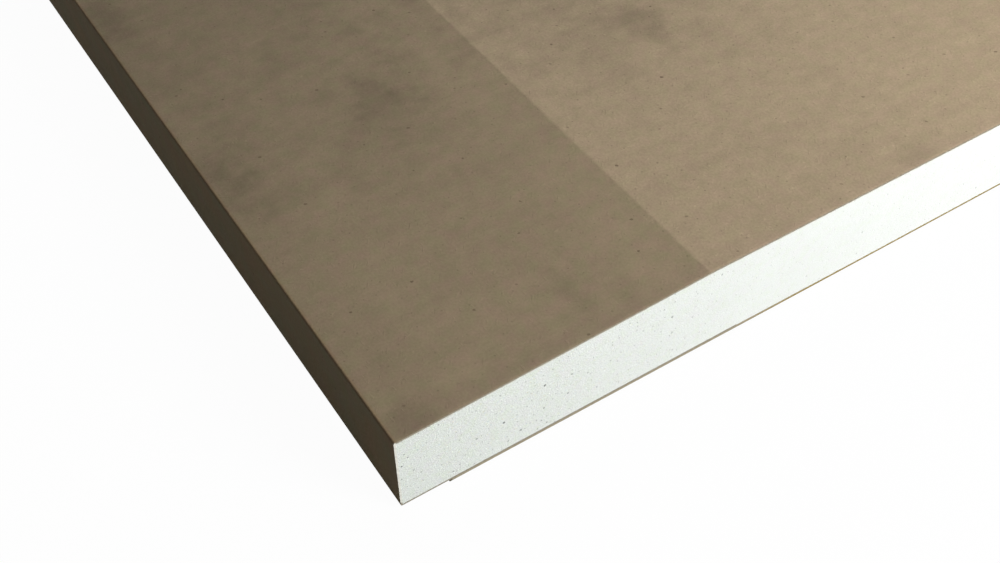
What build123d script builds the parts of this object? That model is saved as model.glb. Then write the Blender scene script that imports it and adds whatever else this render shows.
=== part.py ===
from build123d import *
import os

# Drywall sheet: a gypsum core between a wrapped face paper and a flat back paper.
# Millimetres. The origin is the middle of the underside: X across the sheet, Y along it, Z up.

os.makedirs("parts", exist_ok=True)

# The whole sheet
sheet_length = 2440.0
sheet_width = 1220.0
sheet_thickness = 15.9

# The shallow taper along both long edges of the face
taper_width = 50.0
taper_depth = 1.5

# The face paper and the flap that it folds under each long edge, creased so tightly that
# the outside of the fold is as round as the paper is thick
face_paper_thickness = 0.3
flap_width = 57.0
fold_radius = face_paper_thickness

# The back paper, which covers the flaps but stops short of the long edges
back_paper_thickness = 0.4
back_paper_inset = 7.5

# Places across the sheet, measured from its centre line
edge_x = sheet_width / 2
taper_start_x = edge_x - taper_width
flap_end_x = edge_x - flap_width
back_paper_edge_x = edge_x - back_paper_inset
core_edge_x = edge_x - face_paper_thickness

# Heights above the floor
flap_underside_z = back_paper_thickness
core_rebate_z = flap_underside_z + face_paper_thickness
edge_top_z = sheet_thickness - taper_depth
core_top_z = sheet_thickness - face_paper_thickness
taper_slope = taper_depth / taper_width
core_edge_top_z = edge_top_z - face_paper_thickness + taper_slope * face_paper_thickness

# The sheet's outline without the back paper, from the left long edge over the face to the right one
wrapped_outline = [
    (-edge_x, flap_underside_z),
    (-edge_x, edge_top_z),
    (-taper_start_x, sheet_thickness),
    (taper_start_x, sheet_thickness),
    (edge_x, edge_top_z),
    (edge_x, flap_underside_z),
]

# The core's outline under the face paper, without its middle part between the flaps
core_outline = [
    (-core_edge_x, core_rebate_z),
    (-core_edge_x, core_edge_top_z),
    (-taper_start_x, core_top_z),
    (taper_start_x, core_top_z),
    (core_edge_x, core_edge_top_z),
    (core_edge_x, core_rebate_z),
]

# Gypsum core: one cast slab, bare at both cut ends, rebated underneath for the two flaps
with BuildPart() as gypsum_core:
    with BuildSketch(Plane.XZ) as core_section:
        with BuildLine():
            Polyline(*core_outline, close=True)
        make_face()
        with Locations((0, flap_underside_z)):
            Rectangle(2 * flap_end_x, face_paper_thickness, align=(Align.CENTER, Align.MIN))
    extrude(amount=sheet_length / 2, both=True)

# Face paper: over the face, down both long edges and in under each one as a flap
with BuildPart() as face_paper:
    with BuildSketch(Plane.XZ) as wrap_section:
        with BuildLine():
            Polyline(*wrapped_outline, close=True)
        make_face()
        corners_across = wrap_section.vertices().group_by(Axis.X)
        fillet(corners_across[0] + corners_across[-1], fold_radius)
        with BuildLine():
            Polyline(*core_outline, close=True)
        make_face(mode=Mode.SUBTRACT)
        with Locations((0, flap_underside_z)):
            Rectangle(
                2 * flap_end_x, face_paper_thickness, align=(Align.CENTER, Align.MIN), mode=Mode.SUBTRACT
            )
    extrude(amount=sheet_length / 2, both=True)

# Back paper: a flat strip glued over the core and the flaps
with BuildPart() as back_paper:
    with BuildSketch(Plane.XZ) as back_section:
        Rectangle(2 * back_paper_edge_x, back_paper_thickness, align=(Align.CENTER, Align.MIN))
    extrude(amount=sheet_length / 2, both=True)

gypsum_core.part.label = "gypsum_core"
face_paper.part.label = "face_paper"
back_paper.part.label = "back_paper"

export_step(gypsum_core.part, "parts/gypsum_core.step")
export_step(face_paper.part, "parts/face_paper.step")
export_step(back_paper.part, "parts/back_paper.step")
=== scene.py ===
import math

import bpy
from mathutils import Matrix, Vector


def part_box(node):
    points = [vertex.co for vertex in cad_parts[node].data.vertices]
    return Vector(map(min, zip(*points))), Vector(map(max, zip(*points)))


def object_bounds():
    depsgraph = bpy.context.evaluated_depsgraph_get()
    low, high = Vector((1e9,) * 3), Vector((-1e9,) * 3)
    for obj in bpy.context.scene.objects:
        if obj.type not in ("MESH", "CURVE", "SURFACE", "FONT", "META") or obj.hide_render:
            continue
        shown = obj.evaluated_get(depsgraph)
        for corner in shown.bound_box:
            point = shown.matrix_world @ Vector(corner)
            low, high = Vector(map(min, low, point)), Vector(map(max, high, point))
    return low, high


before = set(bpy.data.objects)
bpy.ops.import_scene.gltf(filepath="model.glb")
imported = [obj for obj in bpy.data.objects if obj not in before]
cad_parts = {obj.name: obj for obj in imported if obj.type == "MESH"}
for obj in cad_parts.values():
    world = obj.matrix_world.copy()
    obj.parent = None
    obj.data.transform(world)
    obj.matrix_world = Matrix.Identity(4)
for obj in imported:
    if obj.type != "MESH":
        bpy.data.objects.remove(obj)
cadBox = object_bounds()
print("frame loaded:", ", ".join(sorted(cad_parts)))

sheetLow, sheetHigh = cadBox
endY = sheetHigh.y  # the cut ends are at plus and minus this
longEdgeX = sheetHigh.x  # the wrapped long edges
millimetre = 0.001
cutSkin = 0.00001  # what lies this close to a cut end is the cut itself
usualNoise = (0.3, 0.7)  # most of a noise's values lie between these
fineNoise = (0.25, 0.75)  # and most of a fine grain's between these
dullSheen = 0.12  # paper and gypsum hardly shine


# small helpers for the node trees

def startMaterial(name):
    mat = bpy.data.materials.new(name)
    mat.use_nodes = True
    tree = mat.node_tree
    tree.nodes.clear()
    out = tree.nodes.new("ShaderNodeOutputMaterial")
    shader = tree.nodes.new("ShaderNodeBsdfPrincipled")
    tree.links.new(shader.outputs["BSDF"], out.inputs["Surface"])
    place = tree.nodes.new("ShaderNodeTexCoord").outputs["Object"]
    return mat, tree, shader, place


def put(tree, socket, value):
    if hasattr(value, "is_linked"):
        tree.links.new(value, socket)
    else:
        socket.default_value = value


def calc(tree, how, a, b=0.0, c=0.0, clamp=False):
    made = tree.nodes.new("ShaderNodeMath")
    made.operation = how
    made.use_clamp = clamp
    for socket, value in zip(made.inputs, (a, b, c)):
        put(tree, socket, value)
    return made.outputs[0]


def laid(tree, place, lengths=(1.0, 1.0), turn=0.0, shift=(0.0, 0.0)):
    # a pattern stretched to its own lengths across and along, turned by an angle and moved
    made = tree.nodes.new("ShaderNodeMapping")
    made.vector_type = "TEXTURE"
    put(tree, made.inputs["Vector"], place)
    made.inputs["Location"].default_value = (shift[0], shift[1], 0.0)
    made.inputs["Rotation"].default_value = (0.0, 0.0, turn)
    made.inputs["Scale"].default_value = (lengths[0], lengths[1], 1.0)
    return made.outputs[0]


def noise(tree, place, scale, layers, rough):
    made = tree.nodes.new("ShaderNodeTexNoise")
    made.noise_dimensions = "2D"
    put(tree, made.inputs["Vector"], place)
    made.inputs["Scale"].default_value = scale
    made.inputs["Detail"].default_value = layers
    made.inputs["Roughness"].default_value = rough
    return made.outputs["Fac"]


def levels(tree, value, fromLow, fromHigh, toLow=0.0, toHigh=1.0, soft=False):
    made = tree.nodes.new("ShaderNodeMapRange")
    made.interpolation_type = "SMOOTHSTEP" if soft else "LINEAR"
    for socket, number in zip(made.inputs, (value, fromLow, fromHigh, toLow, toHigh)):
        put(tree, socket, number)
    return made.outputs["Result"]


def wander(tree, field, strength):
    # a factor that goes a little under and over 1 with the noise
    return levels(tree, field, *usualNoise, 1.0 - strength, 1.0 + strength)


def fade(tree, mark, shade):
    # a factor that is 1 beside a mark and the shade in the middle of it
    return levels(tree, mark, 0.0, 1.0, 1.0, shade)


def mixColour(tree, share, a, b, how="MIX"):
    made = tree.nodes.new("ShaderNodeMix")
    made.data_type = "RGBA"
    made.blend_type = how
    put(tree, made.inputs["Factor"], share)
    put(tree, made.inputs["A"], a)
    put(tree, made.inputs["B"], b)
    return made.outputs["Result"]


def shaded(tree, colour, amount):
    grey = tree.nodes.new("ShaderNodeCombineColor")
    for channel in ("Red", "Green", "Blue"):
        put(tree, grey.inputs[channel], amount)
    return mixColour(tree, 1.0, colour, grey.outputs["Color"], "MULTIPLY")


def product(tree, *amounts):
    total = amounts[0]
    for amount in amounts[1:]:
        total = calc(tree, "MULTIPLY", total, amount)
    return total


markShape = {
    # in sizes: the smallest and the largest reach, the soft rim, and the wobble
    "smallest": 0.55,
    "largest": 1.2,
    "rimOutside": 0.15,
    "rimInside": 0.35,
    "wobbleSize": 2.0,
    "wobbleReach": 2.0,
    "wobbleLayers": 1.0,
    "faintest": 0.45,  # the strength of the faintest
}


def marks(tree, place, longer, turn, spacing, size, share, ragged=0.5):
    # ragged specks, one in some of the cells of a cellular pattern; longer is their length over width
    v = markShape
    place = laid(tree, place, (longer, 1.0), turn)
    cell = size / spacing
    wobble = tree.nodes.new("ShaderNodeTexNoise")
    wobble.noise_dimensions = "2D"
    put(tree, wobble.inputs["Vector"], place)
    wobble.inputs["Scale"].default_value = 1.0 / (v["wobbleSize"] * size)
    wobble.inputs["Detail"].default_value = v["wobbleLayers"]
    shift = tree.nodes.new("ShaderNodeVectorMath")
    shift.operation = "MULTIPLY_ADD"
    put(tree, shift.inputs[0], wobble.outputs["Color"])
    shift.inputs[1].default_value = (v["wobbleReach"] * size * ragged,) * 3
    put(tree, shift.inputs[2], place)
    cells = tree.nodes.new("ShaderNodeTexVoronoi")
    cells.voronoi_dimensions = "2D"
    put(tree, cells.inputs["Vector"], shift.outputs[0])
    cells.inputs["Scale"].default_value = 1.0 / spacing
    pick = tree.nodes.new("ShaderNodeSeparateColor")
    put(tree, pick.inputs["Color"], cells.outputs["Color"])
    reach = levels(tree, pick.outputs["Green"], 0.0, 1.0, v["smallest"] * cell, v["largest"] * cell)
    inside = calc(tree, "SUBTRACT", reach, cells.outputs["Distance"])
    speck = levels(tree, inside, -v["rimOutside"] * cell, v["rimInside"] * cell)
    chosen = calc(tree, "LESS_THAN", pick.outputs["Red"], share)
    strength = levels(tree, pick.outputs["Blue"], 0.0, 1.0, v["faintest"], 1.0)
    return product(tree, speck, chosen, strength)


def mixedIn(tree, share, amount):
    # a factor that counts by its share, and is 1 where the share is nothing
    return calc(tree, "MULTIPLY_ADD", calc(tree, "SUBTRACT", amount, 1.0), share, 1.0)


def axes(tree, place):
    parts = tree.nodes.new("ShaderNodeSeparateXYZ")
    put(tree, parts.inputs[0], place)
    return parts.outputs


def pair(tree, u, v):
    made = tree.nodes.new("ShaderNodeCombineXYZ")
    put(tree, made.inputs[0], u)
    put(tree, made.inputs[1], v)
    return made.outputs[0]


stainShape = {
    # in reaches: how ragged the rim is, and where a stain starts to fade and ends
    "ragged": 1.2,
    "core": 0.70,
    "rim": 1.75,
}


def stain(tree, place, centre, reach, strength, edgeNoise):
    # one soft ragged patch that darkens by strength at its middle
    v = stainShape
    away = tree.nodes.new("ShaderNodeVectorMath")
    away.operation = "LENGTH"
    put(tree, away.inputs[0], laid(tree, place, reach, 0.0, centre))
    ragged = calc(tree, "MULTIPLY_ADD", edgeNoise, v["ragged"], away.outputs["Value"])
    return levels(tree, ragged, v["core"], v["rim"], 1.0 - strength, 1.0, soft=True)


def emboss(tree, shader, height, strength, distance):
    bump = tree.nodes.new("ShaderNodeBump")
    bump.inputs["Strength"].default_value = strength
    bump.inputs["Distance"].default_value = distance
    put(tree, bump.inputs["Height"], height)
    put(tree, shader.inputs["Normal"], bump.outputs["Normal"])


# face paper

facePaper = {
    # two tones of the pulp, the paper's own cut edge, the pale fold where it is cut, and dark flecks
    "pinkTone": (0.3915, 0.2955, 0.199, 1.0),
    "oliveTone": (0.3755, 0.3005, 0.189, 1.0),
    "cutEdgeTone": (0.325, 0.290, 0.220, 1.0),
    "foldEdgeTone": (0.825, 0.820, 0.735, 1.0),
    "fleckTone": (0.100, 0.068, 0.042, 1.0),
    # tints of its parts; the side's tints also hold painted light, and the fold's tint is painted shade
    "taperPinkTint": (1.016, 0.990, 0.998, 1.0),
    "taperOliveTint": (0.974, 1.014, 0.958, 1.0),
    "sideWarmTint": (1.075, 1.005, 0.890, 1.0),
    "sideCoolTint": (1.005, 1.060, 0.985, 1.0),
    "foldShadeTint": (0.94, 0.86, 0.78, 1.0),
    "nearCutTint": (0.975, 0.960, 0.990, 1.0),
    # places, in metres from the centre line, the fold's on the paper laid out flat
    "taperStart": 0.560,
    "flapEnd": 0.553,
    "foldLine": 0.6115,
    # where painted shade or painted light starts and where it is full, in metres, and its factor
    "creasePaintedLight": (0.585, 0.562, 1.11),  # from the centre line
    "middlePaintedLight": (0.562, 0.465, 1.18),  # from the centre line
    "foldPaintedShade": (0.012, 0.0005, 0.93),  # from the long edge
    "cutPaintedHighlight": (0.00055, 0.00005, 1.15),  # from the cut end
    # where a tint starts and where it is full, in metres
    "foldReach": (0.0007, 0.0002),  # from the fold
    "nearCutReach": (0.0030, 0.0004),  # from the cut end
    "sideTop": (0.0144, 0.0138),  # height
    # the crease wanders a little, and is softer for the fine marks
    "creaseNoise": (420.0, 4.0, 0.65),
    "creaseWander": 0.0007,
    "creaseBlur": 0.0003,
    "fineBlur": 0.001,
    # noises: scale, layers, roughness
    "hueNoise": (420.0, 3.0, 0.6),
    "taperHueNoise": (330.0, 3.0, 0.6),
    "taperHueTurn": 0.9,
    "sideHueNoise": (110.0, 3.0, 0.7),
    "stainNoise": (170.0, 3.0, 0.55),
    "grainNoise": (2500.0, 2.0, 0.5),
    "cutNoise": (1500.0, 3.0, 0.6),
    "reliefNoise": (420.0, 4.0, 0.6),
    "cloudNoise": (7.0, 4.0, 0.5),
    # the noise values that give the first and the second of two tones
    "hueSpread": (0.32, 0.68),
    "taperHueSpread": (0.36, 0.64),
    "sideHueSpread": (0.35, 0.65),
    # broad patterns: lengths across and along in metres, layers, roughness, strength
    "broadPatterns": (
        ((0.018, 0.0038), 2.0, 0.5, 0.028),
        ((0.11, 0.012), 2.0, 0.5, 0.017),
        ((0.0032, 0.0022), 3.0, 0.6, 0.047),
        ((0.009, 0.07), 2.0, 0.5, 0.014),
        ((0.035, 1.3), 3.0, 0.6, 0.018),
    ),
    # marks: length over width, turn, spacing, size, share of the cells, raggedness
    "darkFibres": ((3.6, 0.9, 0.00110, 0.00013, 0.50, 0.8), (4.4, -0.5, 0.00130, 0.00013, 0.45, 0.8)),
    "paleFibres": ((4.0, 0.3, 0.00120, 0.00013, 0.50, 0.8), (3.2, 1.7, 0.00140, 0.00013, 0.45, 0.8)),
    "specks": (1.0, 0.7, 0.0019, 0.00014, 0.50),
    "paleFlecks": (1.0, 1.9, 0.0042, 0.00020, 0.50),
    "flecks": (1.5, -0.55, 0.0052, 0.00018, 0.34),
    "smudges": (0.55, 0.0, 0.085, 0.013, 0.60, 0.9),
    "smudgesFrom": (0.13, 0.20),  # metres from the near left corner
    # strengths and factors, where a factor of 1 would leave the paper as it is
    "cloudStrength": 0.035,
    "grainRange": (0.93, 1.07),
    "cutGrainRange": (0.85, 1.1),
    "darkFibreShade": 0.935,
    "paleFibreLift": 1.055,
    "speckShade": 0.68,
    "paleFleckLift": 1.16,
    "smudgeShade": 0.89,
    # painted shade in the taper
    "taperPaintedShade": 0.705,
    # what is left of the flecks, and of the other marks and patterns in the taper and on the long edges
    "fleckShare": 0.75,
    "fineInTaper": 0.68,
    "fineOnSide": 0.6,
    "broadOnSide": 0.3,
    # the pale fold on the cut ends, in metres
    "foldThick": 0.00031,
    "foldBottom": 0.0011,
    # the surface's gloss and relief
    "roughness": (0.90, 0.74),
    "relief": 0.35,
    "reliefFromNoise": 2.0,
    "fibreHeight": 0.00005,
    # soft stains near the corner: place in mm from the corner, reach in mm, strength
    "stains": (
        ((12, 118), (60, 78), 0.16),
        ((78, 78), (46, 38), 0.14),
        ((27, 50), (13, 17), 0.06),
        ((30, 57), (5.5, 11.0), 0.16),
        ((2, 55), (4.6, 12.0), 0.20),
        ((1, 103), (4.6, 9.0), 0.20),
        ((76, 52), (5.6, 7.5), 0.17),
        ((84, 43), (5.0, 7.0), 0.06),
        ((68, 52), (18, 15), 0.06),
        ((31.5, 8), (2.8, 7.0), 0.10),
        ((91, 2), (3.4, 4.5), 0.10),
        ((84, 7), (4.0, 4.5), 0.05),
        ((3, 2), (4.0, 5.0), 0.15),
        ((37, 1), (3.0, 4.0), 0.03),
        ((38.5, 4.0), (3.0, 3.4), 0.08),
        # and four faint pale streaks, as of a brush
        ((20.4, 83.4), (5.0, 0.6), -0.040),
        ((25.5, 84.8), (4.5, 0.5), -0.035),
        ((13.5, 84.6), (4.0, 0.6), -0.035),
        ((22.0, 89.0), (5.5, 0.6), -0.030),
    ),
}


def unrolledAcross(tree, x, z):
    # the place across the paper laid out flat, as it was before it was folded round the long edges
    fromTop = calc(tree, "SUBTRACT", z, sheetHigh.z)
    return calc(tree, "SUBTRACT", x, calc(tree, "MULTIPLY", calc(tree, "SIGN", x), fromTop))


def paperFibres(tree, flat, kinds):
    # short pressed fibres that lie two ways
    oneWay, otherWay = kinds
    return calc(tree, "MAXIMUM", marks(tree, flat, *oneWay), marks(tree, flat, *otherWay))


def paperPatterns(tree, flat):
    v = facePaper
    factors = [wander(tree, noise(tree, flat, *v["cloudNoise"]), v["cloudStrength"])]
    for lengths, layers, rough, strength in v["broadPatterns"]:
        field = noise(tree, laid(tree, flat, lengths), 1.0, layers, rough)
        factors.append(wander(tree, field, strength))
    return product(tree, *factors)


def paperStains(tree, flat):
    # the ones by the near left corner are placed, the rest of the sheet has scattered ones
    v = facePaper
    edgeNoise = noise(tree, flat, *v["stainNoise"])
    factors = []
    for centre, reach, strength in v["stains"]:
        middle = (sheetLow.x + centre[0] * millimetre, sheetLow.y + centre[1] * millimetre)
        size = (reach[0] * millimetre, reach[1] * millimetre)
        factors.append(stain(tree, flat, middle, size, strength, edgeNoise))
    fromCorner = tree.nodes.new("ShaderNodeVectorMath")
    fromCorner.operation = "DISTANCE"
    put(tree, fromCorner.inputs[0], flat)
    fromCorner.inputs[1].default_value = (sheetLow.x, sheetLow.y, 0.0)
    elsewhere = levels(tree, fromCorner.outputs["Value"], *v["smudgesFrom"])
    smudged = calc(tree, "MULTIPLY", marks(tree, flat, *v["smudges"]), elsewhere)
    factors.append(levels(tree, smudged, 0.0, 1.0, 1.0, v["smudgeShade"], soft=True))
    return product(tree, *factors)


def kraftFacePaper():
    v = facePaper
    mat, tree, shader, place = startMaterial("kraft_face_paper")
    x, y, z = axes(tree, place)
    fromMiddle = calc(tree, "ABSOLUTE", x)
    alongHalf = calc(tree, "ABSOLUTE", y)
    unrolled = unrolledAcross(tree, x, z)
    flat = pair(tree, unrolled, y)

    # the parts of the sheet: the taper, the long edge, the fold between them and the strip beside the cut
    creaseNoise = noise(tree, flat, *v["creaseNoise"])
    creaseInside = v["taperStart"] - v["creaseWander"] / 2
    crease = calc(tree, "MULTIPLY_ADD", creaseNoise, v["creaseWander"], creaseInside)
    intoTaper = calc(tree, "SUBTRACT", fromMiddle, crease)
    taper = levels(tree, intoTaper, -v["creaseBlur"], v["creaseBlur"], soft=True)
    onSide = levels(tree, z, *v["sideTop"])
    fromFold = calc(tree, "SUBTRACT", calc(tree, "ABSOLUTE", unrolled), v["foldLine"])
    # the fold line, where its tint is painted shade
    paintedShadeAlongFold = levels(tree, calc(tree, "ABSOLUTE", fromFold), *v["foldReach"])
    nearCut = levels(tree, alongHalf, endY - v["nearCutReach"][0], endY - v["nearCutReach"][1])

    # colour: pink and olive pulp, with a tint for each part; the fold's tint is painted shade, and the
    # side's is partly painted light
    hue = levels(tree, noise(tree, flat, *v["hueNoise"]), *v["hueSpread"])
    tone = mixColour(tree, hue, v["pinkTone"], v["oliveTone"])
    turned = laid(tree, flat, turn=v["taperHueTurn"])
    taperHue = levels(tree, noise(tree, turned, *v["taperHueNoise"]), *v["taperHueSpread"])
    taperTint = mixColour(tree, taperHue, v["taperPinkTint"], v["taperOliveTint"])
    # on the long edges the tint is the pulp's own hue and also painted light, warmer and lighter on the
    # shaded side
    sideHue = levels(tree, noise(tree, flat, *v["sideHueNoise"]), *v["sideHueSpread"])
    sideHueAndPaintedLight = mixColour(tree, sideHue, v["sideWarmTint"], v["sideCoolTint"])
    partTints = (
        (taper, taperTint),
        (onSide, sideHueAndPaintedLight),
        (paintedShadeAlongFold, v["foldShadeTint"]),
        (nearCut, v["nearCutTint"]),
    )
    for share, tint in partTints:
        tone = mixColour(tree, share, tone, tint, "MULTIPLY")

    # fine marks, which are pressed flatter in the taper and on the long edges
    grain = noise(tree, flat, *v["grainNoise"])
    grainTone = levels(tree, grain, *fineNoise, *v["grainRange"])
    darkFibres = paperFibres(tree, flat, v["darkFibres"])
    paleFibres = paperFibres(tree, flat, v["paleFibres"])
    specks = marks(tree, flat, *v["specks"])
    paleFlecks = marks(tree, flat, *v["paleFlecks"])
    fibreTone = calc(tree, "MULTIPLY", fade(tree, darkFibres, v["darkFibreShade"]),
                     fade(tree, paleFibres, v["paleFibreLift"]))
    fine = product(tree, grainTone, fibreTone, fade(tree, specks, v["speckShade"]),
                   fade(tree, paleFlecks, v["paleFleckLift"]))
    fineShare = calc(tree, "MULTIPLY",
                     levels(tree, intoTaper, -v["fineBlur"], v["fineBlur"], 1.0, v["fineInTaper"]),
                     fade(tree, onSide, v["fineOnSide"]))
    fine = mixedIn(tree, fineShare, fine)

    # light and dark: broad patterns and stains, and painted shade and painted light on the parts
    broad = mixedIn(tree, fade(tree, onSide, v["broadOnSide"]), paperPatterns(tree, flat))
    # painted shade: the taper darker than the flat face
    paintedShadeInTaper = fade(tree, taper, v["taperPaintedShade"])
    # painted light: the taper lighter towards its crease
    start, full, lift = v["creasePaintedLight"]
    paintedLightTowardsCrease = levels(tree, fromMiddle, full, start, lift, 1.0, soft=True)
    paintedShadeInTaper = calc(tree, "MULTIPLY", paintedShadeInTaper, mixedIn(tree, taper, paintedLightTowardsCrease))
    # painted light: the flat face lighter towards the middle of the sheet
    start, full, lift = v["middlePaintedLight"]
    paintedLightTowardsMiddle = levels(tree, fromMiddle, full, start, lift, 1.0, soft=True)
    # painted shade: the face darker towards the long edge
    start, full, shade = v["foldPaintedShade"]
    paintedShadeNearFold = levels(tree, fromMiddle, longEdgeX - start, longEdgeX - full, 1.0, shade, soft=True)
    # painted highlight on the face's last half millimetre beside the cut
    start, full, lift = v["cutPaintedHighlight"]
    paintedHighlightByCut = levels(tree, alongHalf, endY - start, endY - full, 1.0, lift, soft=True)
    amount = product(tree, broad, fine, paintedShadeInTaper, paintedLightTowardsMiddle, paintedShadeNearFold, paintedHighlightByCut, paperStains(tree, flat))

    flecks = marks(tree, flat, *v["flecks"])
    fleckShare = calc(tree, "MULTIPLY", flecks, v["fleckShare"])
    surface = mixColour(tree, fleckShare, shaded(tree, tone, amount), v["fleckTone"])

    # the paper's edge on the cut ends, pale where it comes down round the fold
    onCut = calc(tree, "GREATER_THAN", alongHalf, endY - cutSkin)
    fold = calc(tree, "MULTIPLY",
                calc(tree, "GREATER_THAN", fromMiddle, longEdgeX - v["foldThick"]),
                calc(tree, "GREATER_THAN", z, v["foldBottom"]))
    cutTone = mixColour(tree, fold, v["cutEdgeTone"], v["foldEdgeTone"])
    cutGrain = levels(tree, noise(tree, flat, *v["cutNoise"]), *usualNoise, *v["cutGrainRange"])
    cutSurface = shaded(tree, cutTone, cutGrain)
    put(tree, shader.inputs["Base Color"], mixColour(tree, onCut, surface, cutSurface))

    put(tree, shader.inputs["Roughness"], levels(tree, grain, *usualNoise, *v["roughness"]))
    shader.inputs["Specular IOR Level"].default_value = dullSheen
    raised = calc(tree, "SUBTRACT", calc(tree, "ADD", paleFibres, darkFibres), flecks)
    reliefNoise = noise(tree, flat, *v["reliefNoise"])
    height = calc(tree, "MULTIPLY_ADD", reliefNoise, v["reliefFromNoise"], raised)
    emboss(tree, shader, height, v["relief"], v["fibreHeight"])
    return mat


# gypsum core

gypsum = {
    # further in, and by the long edges where the darker tone is painted shade; two kinds of patches, three
    # kinds of grains, fuzz, and the painted shade in the step by the flap
    "coreTone": (0.905, 0.930, 0.898, 1.0),
    "edgeShadedTone": (0.815, 0.858, 0.812, 1.0),
    "yellowPatch": (0.962, 0.986, 0.925, 1.0),
    "violetPatch": (1.0, 0.972, 1.0, 1.0),
    "granuleTint": (0.86, 0.885, 0.87, 1.0),
    "yellowTint": (1.0, 0.965, 0.86, 1.0),
    "blueTint": (0.90, 0.945, 1.0, 1.0),
    "paperTint": (0.80, 0.74, 0.64, 1.0),
    "stepShadeTone": (0.40, 0.34, 0.24, 1.0),
    # in metres: how far the pattern moves for each end, how far from the long edges the painted shade and
    # stronger patches start, and where the core starts to be and is fully coarse
    "endShift": 3.7,
    "edgeShadeAndPatchReach": 0.095,
    "coarseReach": (0.070, 0.016),
    # noises: scale, layers, roughness
    "yellowPatchNoise": (520.0, 3.0, 0.75),
    "violetPatchNoise": (410.0, 3.0, 0.75),
    "cloudNoise": (90.0, 3.0, 0.5),
    "grainNoise": (6200.0, 1.0, 0.5),
    "fuzzNoise": (700.0, 2.0, 0.6),
    "reliefNoise": (1500.0, 4.0, 0.6),
    # the noise values where the patches and the tufts of fuzz start and are full
    "patchSpread": (0.46, 0.68),
    "fuzzSpread": (0.35, 0.60),
    # marks: length over width, turn, spacing, size, share of the cells
    "granules": (1.0, 0.0, 0.00080, 0.00011, 0.70),
    "yellowGrains": (1.0, 2.1, 0.00100, 0.00013, 0.55),
    "blueGrains": (1.0, 0.4, 0.00115, 0.00013, 0.50),
    "paleGrains": (1.0, 1.3, 0.00085, 0.00012, 0.60),
    "pores": (1.0, 0.0, 0.0036, 0.00018, 0.36),
    "smallPores": (1.0, 0.9, 0.0013, 0.00012, 0.50),
    # strengths and factors, where a factor of 1 would leave the core as it is
    "cloudStrength": 0.01,
    "grainRange": (0.75, 1.19),
    "paleGrainLift": 1.20,
    "poreShade": 0.12,
    "smallPoreShade": 0.42,
    # what is left of the patches and of the grain further in, and of the fuzz between its tufts
    "patchesInside": 0.4,
    "grainInside": 0.26,
    "fuzzBetween": 0.35,
    # in metres: the sheet's taper, how deep under its face the fuzz is full and ends, and the painted shade
    # in the step by the flap
    "taperDepth": 0.0015,
    "fuzzDepth": (0.00030, 0.00060),
    "stepShadeReach": 0.025,
    "stepShadeHeight": 0.00018,
    # the surface's gloss and relief, with the pores deeper than the grain
    "roughness": (0.96, 0.86),
    "poreDepth": 3.0,
    "smallPoreDepth": 1.5,
    "relief": 0.4,
    "grainHeight": 0.00004,
}


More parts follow.
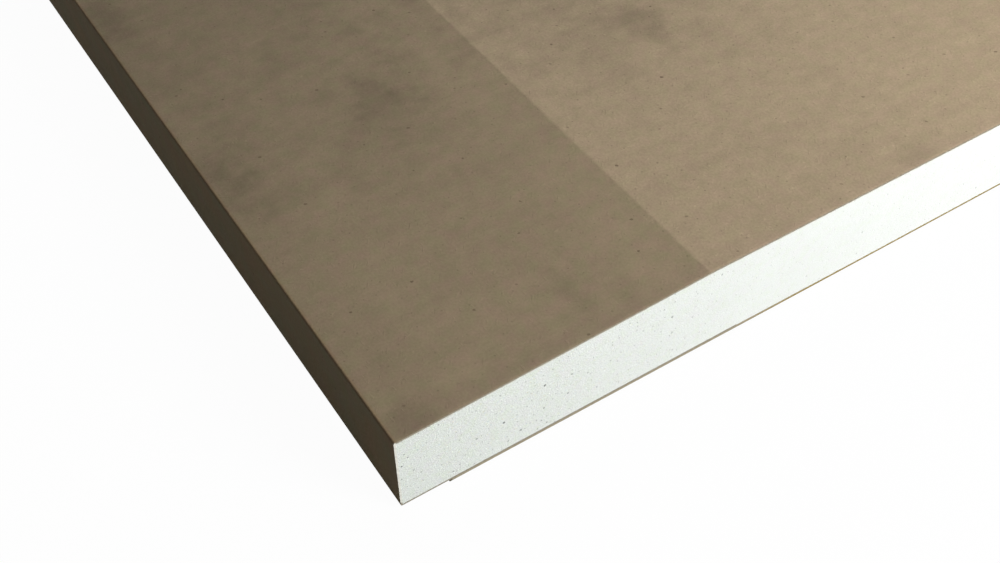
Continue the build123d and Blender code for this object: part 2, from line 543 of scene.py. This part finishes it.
def gypsumCore():
    v = gypsum
    mat, tree, shader, place = startMaterial("gypsum_core")
    x, y, z = axes(tree, place)
    fromMiddle = calc(tree, "ABSOLUTE", x)
    # the cut end laid out flat, with another part of the pattern on each end
    along = calc(tree, "MULTIPLY_ADD", calc(tree, "SIGN", y), v["endShift"], x)
    cut = pair(tree, along, z)

    # painted shade: the cut end darker towards the long edges, where the patches are also stronger
    paintedShadeAndPatchesNearEdge = levels(tree, fromMiddle, longEdgeX - v["edgeShadeAndPatchReach"], longEdgeX)
    tone = mixColour(tree, paintedShadeAndPatchesNearEdge, v["coreTone"], v["edgeShadedTone"])
    for patch in ("yellowPatch", "violetPatch"):
        patches = levels(tree, noise(tree, cut, *v[patch + "Noise"]), *v["patchSpread"])
        patches = calc(tree, "MULTIPLY", patches, levels(tree, paintedShadeAndPatchesNearEdge, 0.0, 1.0, v["patchesInside"], 1.0))
        tone = mixColour(tree, patches, tone, v[patch], "MULTIPLY")

    clouds = wander(tree, noise(tree, cut, *v["cloudNoise"]), v["cloudStrength"])
    grain = noise(tree, cut, *v["grainNoise"])
    grainTone = levels(tree, grain, *fineNoise, *v["grainRange"])
    paleGrains = marks(tree, cut, *v["paleGrains"])
    pores = marks(tree, cut, *v["pores"])
    smallPores = marks(tree, cut, *v["smallPores"])
    specked = product(tree, grainTone, fade(tree, paleGrains, v["paleGrainLift"]),
                      fade(tree, pores, v["poreShade"]), fade(tree, smallPores, v["smallPoreShade"]))
    # the core is coarser near the long edges, and closer and smoother further in
    start, full = v["coarseReach"]
    coarse = levels(tree, fromMiddle, longEdgeX - start, longEdgeX - full, v["grainInside"], 1.0, soft=True)
    specked = mixedIn(tree, coarse, specked)
    grainTints = (("granules", "granuleTint"), ("yellowGrains", "yellowTint"), ("blueGrains", "blueTint"))
    for kind, tint in grainTints:
        grains = calc(tree, "MULTIPLY", marks(tree, cut, *v[kind]), coarse)
        tone = mixColour(tree, grains, tone, v[tint], "MULTIPLY")

    # brown dust and paper fuzz just under the face paper
    edgeTop = sheetHigh.z - v["taperDepth"]
    faceTop = levels(tree, fromMiddle, facePaper["taperStart"], longEdgeX, sheetHigh.z, edgeTop)
    depth = calc(tree, "SUBTRACT", faceTop, z)
    tufts = levels(tree, noise(tree, cut, *v["fuzzNoise"]), *v["fuzzSpread"], v["fuzzBetween"], 1.0)
    fuzz = calc(tree, "MULTIPLY", levels(tree, depth, *v["fuzzDepth"], 1.0, 0.0), tufts)
    tone = mixColour(tree, fuzz, tone, v["paperTint"], "MULTIPLY")
    # painted shade in the step beside the flap's inner end, a thin dark line over the back paper that dies
    # out inwards
    flapEnd = facePaper["flapEnd"]
    stepShadeHeight = levels(tree, fromMiddle, flapEnd - v["stepShadeReach"], flapEnd, 0.0, v["stepShadeHeight"])
    stepShadeTop = calc(tree, "ADD", stepShadeHeight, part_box("back_paper")[1][2])
    paintedStepShade = calc(tree, "MULTIPLY", calc(tree, "LESS_THAN", z, stepShadeTop),
                 calc(tree, "LESS_THAN", fromMiddle, flapEnd))
    tone = mixColour(tree, paintedStepShade, tone, v["stepShadeTone"])
    put(tree, shader.inputs["Base Color"], shaded(tree, tone, product(tree, clouds, specked)))
    put(tree, shader.inputs["Roughness"], levels(tree, grain, *usualNoise, *v["roughness"]))
    shader.inputs["Specular IOR Level"].default_value = dullSheen

    pits = calc(tree, "ADD", calc(tree, "MULTIPLY", pores, -v["poreDepth"]),
                calc(tree, "MULTIPLY", smallPores, -v["smallPoreDepth"]))
    height = calc(tree, "ADD", noise(tree, cut, *v["reliefNoise"]), pits)
    emboss(tree, shader, height, v["relief"], v["grainHeight"])
    return mat


# back paper

backPaper = {
    # its two tones, and its edge on the cut ends, further in and under the flaps
    "tone": (0.300, 0.250, 0.170, 1.0),
    "greyTone": (0.262, 0.228, 0.168, 1.0),
    "cutEdgeTone": (0.330, 0.248, 0.088, 1.0),
    "cutEdgeUnderFlap": (0.380, 0.335, 0.235, 1.0),
    # noises: scale, layers, roughness
    "hueNoise": (30.0, 4.0, 0.6),
    "cloudNoise": (5.0, 3.0, 0.5),
    "grainNoise": (900.0, 4.0, 0.65),
    "fibreNoise": (1.0, 2.0, 0.5),
    "cutNoise": (1300.0, 3.0, 0.6),
    "hueSpread": (0.35, 0.65),  # the noise values that give the first and the second tone
    "strength": 0.07,  # of its clouds, grain and fibres
    # fibres that lie two ways, their lengths in metres
    "fibreLengths": (0.0035, 0.0006),
    "fibreTurns": (0.6, -0.9),
    "fibreSpread": (0.75, 1.25),
    # marks: length over width, turn, spacing, size, share of the cells
    "flecks": (1.0, 0.0, 0.0050, 0.00028, 0.60),
    "fleckShade": 0.5,
    # its edge on the cut ends, with metres from its own outer edge and from the flap's inner end
    "cutGrainRange": (0.88, 1.1),
    "edgeDirt": 0.30,
    "edgeDirtReach": (0.0006, 0.0002),
    "flapFade": 0.012,
    # the surface's gloss and relief, and the fibres' values where it is dullest and glossiest
    "glossSpread": (0.7, 1.3),
    "roughness": (0.94, 0.80),
    "relief": 0.4,
    "fibreHeight": 0.00008,
}


def greyBackPaper():
    v = backPaper
    mat, tree, shader, place = startMaterial("grey_back_paper")
    x, y, z = axes(tree, place)
    flat = pair(tree, x, y)
    hue = levels(tree, noise(tree, flat, *v["hueNoise"]), *v["hueSpread"])
    tone = mixColour(tree, hue, v["tone"], v["greyTone"])
    clouds = wander(tree, noise(tree, flat, *v["cloudNoise"]), v["strength"])
    grain = wander(tree, noise(tree, flat, *v["grainNoise"]), v["strength"])
    ways = [laid(tree, flat, v["fibreLengths"], turn) for turn in v["fibreTurns"]]
    fibres = calc(tree, "ADD", *[noise(tree, way, *v["fibreNoise"]) for way in ways])
    fibreTone = levels(tree, fibres, *v["fibreSpread"], 1.0 - v["strength"], 1.0 + v["strength"])
    flecks = fade(tree, marks(tree, flat, *v["flecks"]), v["fleckShade"])
    surface = shaded(tree, tone, product(tree, clouds, grain, fibreTone, flecks))

    # its edge on the cut ends, dirty at the outer end and duller under the flaps
    onCut = calc(tree, "GREATER_THAN", calc(tree, "ABSOLUTE", y), endY - cutSkin)
    fromMiddle = calc(tree, "ABSOLUTE", x)
    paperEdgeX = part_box("back_paper")[1][0]
    start, full = v["edgeDirtReach"]
    edgeDirt = levels(tree, fromMiddle, paperEdgeX - start, paperEdgeX - full, 1.0, v["edgeDirt"])
    flapEnd = facePaper["flapEnd"]
    underFlap = levels(tree, fromMiddle, flapEnd - v["flapFade"], flapEnd)
    cutTone = mixColour(tree, underFlap, v["cutEdgeTone"], v["cutEdgeUnderFlap"])
    cutGrain = levels(tree, noise(tree, flat, *v["cutNoise"]), *usualNoise, *v["cutGrainRange"])
    cutSurface = shaded(tree, cutTone, product(tree, edgeDirt, cutGrain))
    put(tree, shader.inputs["Base Color"], mixColour(tree, onCut, surface, cutSurface))
    put(tree, shader.inputs["Roughness"], levels(tree, fibres, *v["glossSpread"], *v["roughness"]))
    shader.inputs["Specular IOR Level"].default_value = dullSheen
    emboss(tree, shader, fibres, v["relief"], v["fibreHeight"])
    return mat


def dress(nodeName, mat):
    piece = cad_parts[nodeName]
    piece.data.materials.clear()
    piece.data.materials.append(mat)


dress("face_paper", kraftFacePaper())
dress("gypsum_core", gypsumCore())
dress("back_paper", greyBackPaper())
print("papers and core dressed")


# studio: floor, world and lamps

studio = {
    "floorSize": 160.0,
    "floorDrop": 0.0001,
    "floorTone": (0.90, 0.90, 0.90, 1.0),
    "floorBounce": 0.22,
    "floorWhite": 0.97,
    "worldStrength": 0.06,
    "keyPlace": (-0.41, -1.49, 0.186),
    "keySize": 0.16,
    "keyPower": 1.11,
    "frontPlace": (0.9, -3.4, 1.3),
    "frontSize": 1.4,
    "frontPower": 31.0,
    "topPlace": (0.25, 0.55, 1.9),
    "topSize": 1.7,
    "topPower": 24.0,
    "farPlace": (1.7, 2.5, 1.4),
    "farSize": 1.2,
    "farPower": 45.0,
}


def seenDirectly(tree):
    # 1 for what the camera sees, also by a reflection, and 0 for light that falls on the sheet
    path = tree.nodes.new("ShaderNodeLightPath")
    seen = calc(tree, "ADD", path.outputs["Is Camera Ray"], path.outputs["Is Glossy Ray"], clamp=True)
    return calc(tree, "ADD", seen, path.outputs["Is Transmission Ray"], clamp=True)


def studioFloor():
    bpy.ops.object.select_all(action="DESELECT")
    bpy.ops.mesh.primitive_plane_add(size=studio["floorSize"], location=(0.0, 0.0, -studio["floorDrop"]))
    floor = bpy.context.object
    floor.name = "studio_floor"
    mat = bpy.data.materials.new("pale_floor")
    mat.use_nodes = True
    tree = mat.node_tree
    tree.nodes.clear()
    out = tree.nodes.new("ShaderNodeOutputMaterial")
    matte = tree.nodes.new("ShaderNodeBsdfDiffuse")
    matte.inputs["Color"].default_value = studio["floorTone"]
    dim = tree.nodes.new("ShaderNodeBsdfDiffuse")
    dim.inputs["Color"].default_value = (studio["floorBounce"],) * 3 + (1.0,)
    white = tree.nodes.new("ShaderNodeEmission")
    white.inputs["Strength"].default_value = 1.0
    lit = tree.nodes.new("ShaderNodeMixShader")
    lit.inputs[0].default_value = studio["floorWhite"]
    put(tree, lit.inputs[1], matte.outputs[0])
    put(tree, lit.inputs[2], white.outputs[0])
    both = tree.nodes.new("ShaderNodeMixShader")
    put(tree, both.inputs[0], seenDirectly(tree))
    put(tree, both.inputs[1], dim.outputs[0])
    put(tree, both.inputs[2], lit.outputs[0])
    put(tree, out.inputs["Surface"], both.outputs[0])
    floor.data.materials.append(mat)


def studioWorld():
    world = bpy.data.worlds.new("studio_world")
    bpy.context.scene.world = world
    world.use_nodes = True
    tree = world.node_tree
    tree.nodes.clear()
    out = tree.nodes.new("ShaderNodeOutputWorld")
    soft = tree.nodes.new("ShaderNodeBackground")
    soft.inputs["Color"].default_value = (1.0, 1.0, 1.0, 1.0)
    soft.inputs["Strength"].default_value = studio["worldStrength"]
    white = tree.nodes.new("ShaderNodeBackground")
    white.inputs["Strength"].default_value = 1.0
    white.inputs["Color"].default_value = (1.0, 1.0, 1.0, 1.0)
    both = tree.nodes.new("ShaderNodeMixShader")
    put(tree, both.inputs[0], seenDirectly(tree))
    put(tree, both.inputs[1], soft.outputs[0])
    put(tree, both.inputs[2], white.outputs[0])
    put(tree, out.inputs["Surface"], both.outputs[0])


def lamp(name, place, target, size, power):
    data = bpy.data.lights.new(name, "AREA")
    data.shape = "DISK"
    data.size = size
    data.energy = power
    made = bpy.data.objects.new(name, data)
    bpy.context.scene.collection.objects.link(made)
    made.location = place
    away = made.location - target
    made.rotation_mode = "QUATERNION"
    made.rotation_quaternion = away.to_track_quat("Z", "Y")
    made.visible_camera = False


def studioLamps():
    v = studio
    corner = sheetLow.copy()
    corner.z = sheetHigh.z
    lamp("key_lamp", v["keyPlace"], corner, v["keySize"], v["keyPower"])
    front = corner.copy()
    front.x = 0.0
    lamp("front_lamp", v["frontPlace"], front, v["frontSize"], v["frontPower"])
    below = sheetHigh.copy()
    below.x, below.y = v["topPlace"][:2]
    lamp("top_lamp", v["topPlace"], below, v["topSize"], v["topPower"])
    lamp("far_lamp", v["farPlace"], sheetHigh, v["farSize"], v["farPower"])


studioFloor()
studioWorld()
studioLamps()
print("studio built")


# camera, at the photograph's place over the near left corner

camera = {
    "fromCorner": (-0.037636, -0.085092, 0.143438),  # metres from the underside's near left corner
    "turn": (42.697, 0.6013, -32.841),  # degrees
    "lens": 45.862,  # millimetres, as the sensor's width is
    "sensorWidth": 36.0,
    "nearest": 0.01,
    "farthest": 60.0,
}


def photoCamera():
    v = camera
    data = bpy.data.cameras.new("photo_camera")
    data.lens = v["lens"]
    data.sensor_width = v["sensorWidth"]
    data.clip_start = v["nearest"]
    data.clip_end = v["farthest"]
    made = bpy.data.objects.new("photo_camera", data)
    bpy.context.scene.collection.objects.link(made)
    dx, dy, dz = v["fromCorner"]
    made.location = (sheetLow.x + dx, sheetLow.y + dy, dz)
    made.rotation_euler = [math.radians(a) for a in v["turn"]]
    bpy.context.scene.camera = made


photoCamera()
bpy.context.scene.view_settings.view_transform = "Standard"
print("camera set")
